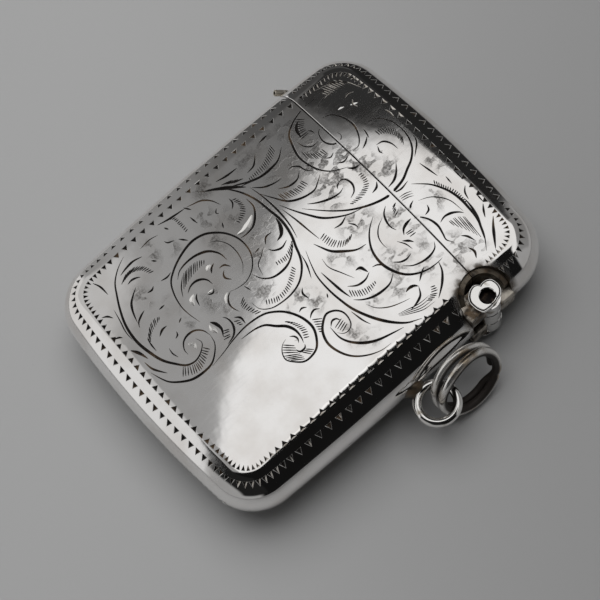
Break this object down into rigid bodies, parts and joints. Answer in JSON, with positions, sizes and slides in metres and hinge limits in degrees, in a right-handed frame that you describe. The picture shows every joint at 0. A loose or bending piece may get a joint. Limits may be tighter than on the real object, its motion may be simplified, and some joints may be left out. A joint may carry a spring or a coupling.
{
  "type": "vesta case",
  "caption": "Flat pocket match case of polished silver with full-round edges, a side-hinged lid, a serrated striker let into the base and a split ring on a side loop.",
  "frame": {"origin": "centre of the worn flat on the back that the case rests on", "axes": "+X from the thumb lug to the hinge side, +Y from the base to the lid, +Z from the back to the engraved front"},
  "size_m": [0.0431, 0.047, 0.0113],
  "materials": {
    "polished_silver": "polished silver, engraved on the front",
    "worn_silver": "dull silver with tarnish in the recesses",
    "tarnished_silver": "dark tarnish",
    "ring_wire": "worn polished wire"
  },
  "bodies": {
    "body": {"body_front_shell": "polished_silver", "body_back_shell": "polished_silver", "mouth_bezel": "worn_silver", "striker_strip": "worn_silver", "body_hinge_seat": "worn_silver", "body_knuckle_front": "polished_silver", "body_knuckle_back": "polished_silver", "hinge_pin": "tarnished_silver", "loop_foot": "tarnished_silver", "suspension_loop": "polished_silver"},
    "lid": {"lid_front_shell": "polished_silver", "lid_back_shell": "polished_silver", "lid_hinge_seat": "worn_silver", "lid_knuckle": "polished_silver", "thumb_lug": "polished_silver"},
    "ring": {"split_ring": "ring_wire"}
  },
  "joints": [
    {"name": "lid_hinge", "type": "hinge", "parent": "body", "child": "lid", "pos_m": [0.0169, 0.0126, 0.00562], "axis": [0, 0, -1], "range_deg": [0, 110]},
    {"name": "ring_swing", "type": "hinge", "parent": "body", "child": "ring", "pos_m": [0.02054, 0.0036, 0.0053], "axis": [0.9336, 0, 0.3584], "range_deg": [-45, 95]}
  ]
}
